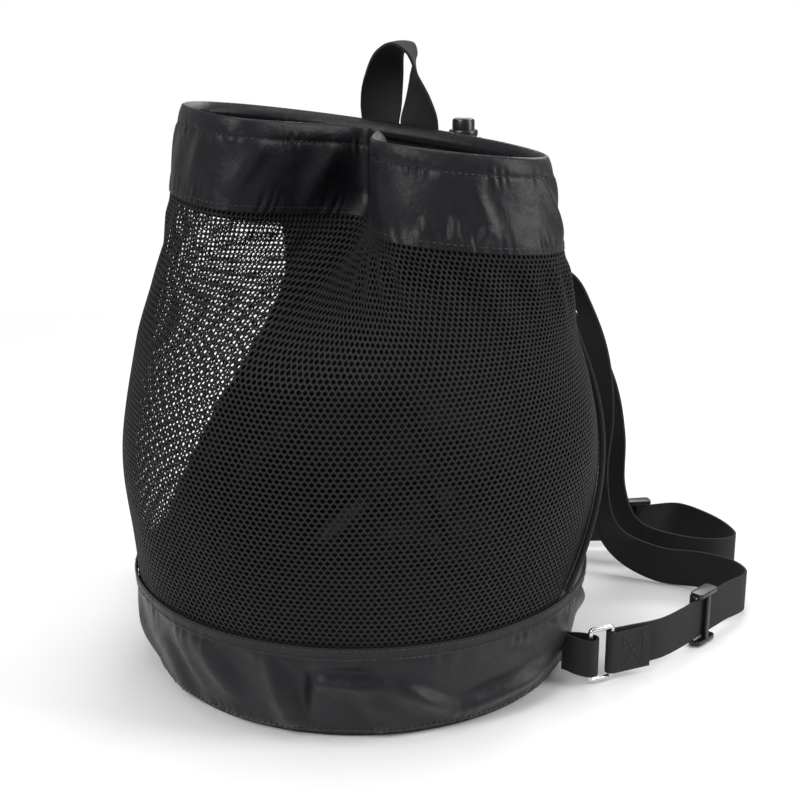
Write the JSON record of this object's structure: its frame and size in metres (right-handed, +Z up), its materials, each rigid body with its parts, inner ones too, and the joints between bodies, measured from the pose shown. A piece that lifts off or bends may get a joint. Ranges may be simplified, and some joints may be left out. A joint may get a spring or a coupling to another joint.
{
  "type": "mesh ball bag",
  "caption": "Upright barrel bag for one large ball: net wall, solid boot and back panel, folded drawcord collar, haul loop and two loose webbing shoulder straps.",
  "frame": {"origin": "centre of the base's underside, on the floor", "axes": "+Z up, -Y towards the front with the fold in the collar, +Y towards the solid back panel, +X to the bag's right as seen from the front"},
  "size_m": [0.3691, 0.371, 0.3472],
  "materials": {
    "satin": "black coated satin-weave nylon with a soft grey sheen",
    "net": "black warp-knit polyester net, hexagonal cells of about 3.5 mm",
    "webbing": "black ribbed polypropylene webbing and binding tape",
    "cord": "black braided polyester cord",
    "plastic": "black moulded acetal, slightly glossy",
    "nickel": "nickel-plated steel wire and pressed eyelets",
    "spring_steel": "plain spring wire"
  },
  "bodies": {
    "bag": {"base_disc": "satin", "base_binding": "webbing", "boot_band": "satin", "boot_binding": "webbing", "mesh_wall": "net", "back_panel": "satin", "side_piping_right": "webbing", "side_piping_left": "webbing", "collar_band": "satin", "collar_seam_tape": "webbing", "eyelet_left": "nickel", "eyelet_right": "nickel", "drawcord": "cord", "cord_tail_left": "cord", "cord_tail_right": "cord", "cord_knot": "cord", "haul_patch": "satin", "strap_anchor_patch": "satin", "ring_tab_right": "webbing", "ring_tab_left": "webbing"},
    "haul_loop": {"haul_loop": "webbing"},
    "cord_lock": {"cord_lock_barrel": "plastic", "cord_lock_spring": "spring_steel"},
    "lock_button": {"cord_lock_button": "plastic"},
    "strap_right": {"strap_right": "webbing", "ring_right": "nickel"},
    "slider_right": {"slider_right": "plastic"},
    "strap_left": {"strap_left": "webbing", "ring_left": "nickel"},
    "slider_left": {"slider_left": "plastic"}
  },
  "joints": [
    {"name": "haul_loop_fold", "type": "hinge", "parent": "bag", "child": "haul_loop", "pos_m": [-0.01012, 0.06605, 0.3014], "axis": [1, 0, 0], "range_deg": [-75, 40]},
    {"name": "cord_lock_slide", "type": "slide", "parent": "bag", "child": "cord_lock", "axis": [0, 1, 0], "range_m": [0, 0.008]},
    {"name": "cord_lock_press", "type": "slide", "parent": "cord_lock", "child": "lock_button", "axis": [0, 0, -1], "range_m": [0, 0.0035], "stiffness_N_per_m": 600, "deforming": ["cord_lock_spring"]},
    {"name": "strap_right_swing", "type": "hinge", "parent": "bag", "child": "strap_right", "pos_m": [0.14391, 0.00503, 0.0174], "axis": [0.4597, -0.3268, -0.8257], "range_deg": [0, 11]},
    {"name": "slider_right_slide", "type": "slide", "parent": "strap_right", "child": "slider_right", "axis": [-0.2504, -0.9681, 0], "range_m": [-0.01, 0.01]},
    {"name": "strap_left_swing", "type": "hinge", "parent": "bag", "child": "strap_left", "pos_m": [-0.14391, 0.00503, 0.0174], "axis": [0.4914, 0.3466, 0.799], "range_deg": [0, 12]},
    {"name": "slider_left_slide", "type": "slide", "parent": "strap_left", "child": "slider_left", "axis": [-0.7979, -0.6028, 0], "range_m": [-0.007, 0.01]}
  ]
}
